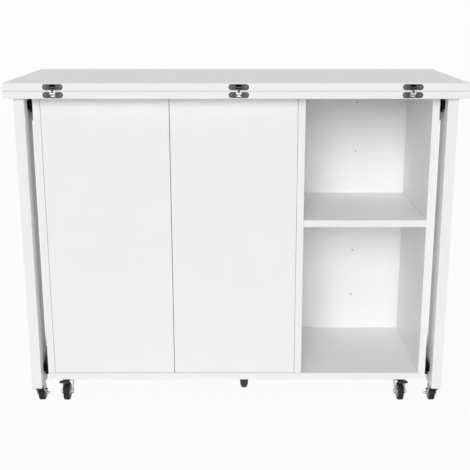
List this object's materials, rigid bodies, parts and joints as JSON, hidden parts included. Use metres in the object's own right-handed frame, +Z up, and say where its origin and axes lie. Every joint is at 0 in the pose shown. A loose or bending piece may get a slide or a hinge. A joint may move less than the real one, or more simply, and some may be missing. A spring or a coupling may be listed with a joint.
{
  "type": "drop leaf kitchen island",
  "caption": "White rolling kitchen island with a worktop, a leaf folded on top that hinges out over pull-out leg frames, a cupboard with doors and an open bay with a shelf.",
  "frame": {"origin": "on the floor under the centre of the closed part's bounding box", "axes": "+X to the right along the long side as seen from the front, +Y from the front to the back, +Z up"},
  "size_m": [1.18, 0.4717, 0.904],
  "materials": {
    "white_lacquer": "smooth satin white lacquer on board",
    "leg_lacquer": "smooth satin white lacquer",
    "gunmetal": "dark gunmetal plating, semi-gloss",
    "bright_steel": "bright steel",
    "zinc": "zinc plated steel",
    "black_steel": "black coated steel",
    "black_tyre": "matt black tread on a black hub",
    "black_plastic": "matt black plastic"
  },
  "bodies": {
    "cabinet": {"worktop": "white_lacquer", "left_lower_hinge_cup": "gunmetal", "middle_lower_hinge_cup": "gunmetal", "right_lower_hinge_cup": "gunmetal", "left_upper_slide_outer": "black_steel", "left_lower_slide_outer": "black_steel", "right_upper_slide_outer": "black_steel", "right_lower_slide_outer": "black_steel", "left_side_panel": "white_lacquer", "right_side_panel": "white_lacquer", "divider_panel": "white_lacquer", "back_panel": "white_lacquer", "open_shelf": "white_lacquer", "cupboard_shelf": "white_lacquer", "front_top_rail": "white_lacquer", "left_door_lower_hinge_arm": "zinc", "left_door_upper_hinge_arm": "zinc", "right_door_lower_hinge_arm": "zinc", "right_door_upper_hinge_arm": "zinc", "bottom_board": "white_lacquer", "centre_foot": "black_plastic"},
    "leaf": {"leaf": "white_lacquer", "left_upper_hinge_cup": "gunmetal", "middle_upper_hinge_cup": "gunmetal", "right_upper_hinge_cup": "gunmetal"},
    "hinge_forks": {"left_hinge_fork": "bright_steel", "middle_hinge_fork": "bright_steel", "right_hinge_fork": "bright_steel"},
    "hinge_tongues": {"left_hinge_tongue": "gunmetal", "middle_hinge_tongue": "gunmetal", "right_hinge_tongue": "gunmetal"},
    "left_door": {"left_door": "white_lacquer"},
    "right_door": {"right_door": "white_lacquer"},
    "left_slide_carriage": {"left_upper_slide_middle": "black_steel", "left_lower_slide_middle": "black_steel"},
    "left_leg": {"left_leg_post": "leg_lacquer", "left_leg_rails": "leg_lacquer", "left_upper_slide_inner": "black_steel", "left_lower_slide_inner": "black_steel"},
    "right_slide_carriage": {"right_upper_slide_middle": "black_steel", "right_lower_slide_middle": "black_steel"},
    "right_leg": {"right_leg_post": "leg_lacquer", "right_leg_rails": "leg_lacquer", "right_upper_slide_inner": "black_steel", "right_lower_slide_inner": "black_steel"},
    "front_left_swivel": {"front_left_caster_fork": "zinc"},
    "front_left_wheel": {"front_left_caster_wheel": "black_tyre"},
    "front_left_pedal": {"front_left_brake_pedal": "black_plastic"},
    "front_right_swivel": {"front_right_caster_fork": "zinc"},
    "front_right_wheel": {"front_right_caster_wheel": "black_tyre"},
    "front_right_pedal": {"front_right_brake_pedal": "black_plastic"},
    "rear_left_swivel": {"rear_left_caster_fork": "zinc"},
    "rear_left_wheel": {"rear_left_caster_wheel": "black_tyre"},
    "rear_right_swivel": {"rear_right_caster_fork": "zinc"},
    "rear_right_wheel": {"rear_right_caster_wheel": "black_tyre"},
    "left_leg_swivel": {"left_leg_caster_fork": "zinc"},
    "left_leg_wheel": {"left_leg_caster_wheel": "black_tyre"},
    "right_leg_swivel": {"right_leg_caster_fork": "zinc"},
    "right_leg_wheel": {"right_leg_caster_wheel": "black_tyre"}
  },
  "joints": [
    {"name": "leaf_fold", "type": "hinge", "parent": "cabinet", "child": "leaf", "pos_m": [0, -0.22955, 0.8845], "axis": [1, 0, 0], "range_deg": [0, 180]},
    {"name": "hinge_fork_turn", "type": "hinge", "parent": "cabinet", "child": "hinge_forks", "pos_m": [0, -0.22455, 0.8715], "axis": [1, 0, 0], "range_deg": [0, 52]},
    {"name": "hinge_tongue_turn", "type": "hinge", "parent": "leaf", "child": "hinge_tongues", "pos_m": [0, -0.22505, 0.893], "axis": [1, 0, 0], "range_deg": [-40, 0]},
    {"name": "left_door_swing", "type": "hinge", "parent": "cabinet", "child": "left_door", "pos_m": [-0.5072, -0.17915, 0.48], "axis": [0, 0, -1], "range_deg": [0, 90]},
    {"name": "right_door_swing", "type": "hinge", "parent": "cabinet", "child": "right_door", "pos_m": [0.1602, -0.17915, 0.48], "axis": [0, 0, 1], "range_deg": [0, 90]},
    {"name": "left_leg_pull", "type": "slide", "parent": "cabinet", "child": "left_leg", "axis": [0, -1, 0], "range_m": [0, 0.35]},
    {"name": "left_carriage_travel", "type": "slide", "parent": "cabinet", "child": "left_slide_carriage", "axis": [0, -1, 0], "range_m": [0, 0.175]},
    {"name": "right_leg_pull", "type": "slide", "parent": "cabinet", "child": "right_leg", "axis": [0, -1, 0], "range_m": [0, 0.35]},
    {"name": "right_carriage_travel", "type": "slide", "parent": "cabinet", "child": "right_slide_carriage", "axis": [0, -1, 0], "range_m": [0, 0.175]},
    {"name": "front_left_swivel_turn", "type": "hinge", "parent": "cabinet", "child": "front_left_swivel", "pos_m": [-0.484, -0.12215, 0.06], "axis": [0, 0, 1], "continuous": true},
    {"name": "front_left_wheel_roll", "type": "hinge", "parent": "front_left_swivel", "child": "front_left_wheel", "pos_m": [-0.484, -0.14215, 0.025], "axis": [1, 0, 0], "continuous": true},
    {"name": "front_left_pedal_press", "type": "hinge", "parent": "front_left_swivel", "child": "front_left_pedal", "pos_m": [-0.484, -0.13115, 0.056], "axis": [1, 0, 0], "range_deg": [0, 10]},
    {"name": "front_right_swivel_turn", "type": "hinge", "parent": "cabinet", "child": "front_right_swivel", "pos_m": [0.466, -0.12215, 0.06], "axis": [0, 0, 1], "continuous": true},
    {"name": "front_right_wheel_roll", "type": "hinge", "parent": "front_right_swivel", "child": "front_right_wheel", "pos_m": [0.466, -0.14215, 0.025], "axis": [1, 0, 0], "continuous": true},
    {"name": "front_right_pedal_press", "type": "hinge", "parent": "front_right_swivel", "child": "front_right_pedal", "pos_m": [0.466, -0.13115, 0.056], "axis": [1, 0, 0], "range_deg": [0, 10]},
    {"name": "rear_left_swivel_turn", "type": "hinge", "parent": "cabinet", "child": "rear_left_swivel", "pos_m": [-0.484, 0.12885, 0.06], "axis": [0, 0, 1], "continuous": true},
    {"name": "rear_left_wheel_roll", "type": "hinge", "parent": "rear_left_swivel", "child": "rear_left_wheel", "pos_m": [-0.484, 0.14885, 0.025], "axis": [1, 0, 0], "continuous": true},
    {"name": "rear_right_swivel_turn", "type": "hinge", "parent": "cabinet", "child": "rear_right_swivel", "pos_m": [0.466, 0.12885, 0.06], "axis": [0, 0, 1], "continuous": true},
    {"name": "rear_right_wheel_roll", "type": "hinge", "parent": "rear_right_swivel", "child": "rear_right_wheel", "pos_m": [0.466, 0.14885, 0.025], "axis": [1, 0, 0], "continuous": true},
    {"name": "left_leg_swivel_turn", "type": "hinge", "parent": "left_leg", "child": "left_leg_swivel", "pos_m": [-0.555, -0.16415, 0.05], "axis": [0, 0, 1], "continuous": true},
    {"name": "left_leg_wheel_roll", "type": "hinge", "parent": "left_leg_swivel", "child": "left_leg_wheel", "pos_m": [-0.555, -0.14215, 0.02], "axis": [1, 0, 0], "continuous": true},
    {"name": "right_leg_swivel_turn", "type": "hinge", "parent": "right_leg", "child": "right_leg_swivel", "pos_m": [0.555, -0.16415, 0.05], "axis": [0, 0, 1], "continuous": true},
    {"name": "right_leg_wheel_roll", "type": "hinge", "parent": "right_leg_swivel", "child": "right_leg_wheel", "pos_m": [0.555, -0.14215, 0.02], "axis": [1, 0, 0], "continuous": true}
  ],
  "couplings": [
    {"joint": "hinge_fork_turn", "follows": "leaf_fold", "ratio": 0.28522},
    {"joint": "hinge_tongue_turn", "follows": "leaf_fold", "ratio": -0.22114},
    {"joint": "left_carriage_travel", "follows": "left_leg_pull", "ratio": 0.5},
    {"joint": "right_carriage_travel", "follows": "right_leg_pull", "ratio": 0.5}
  ]
}
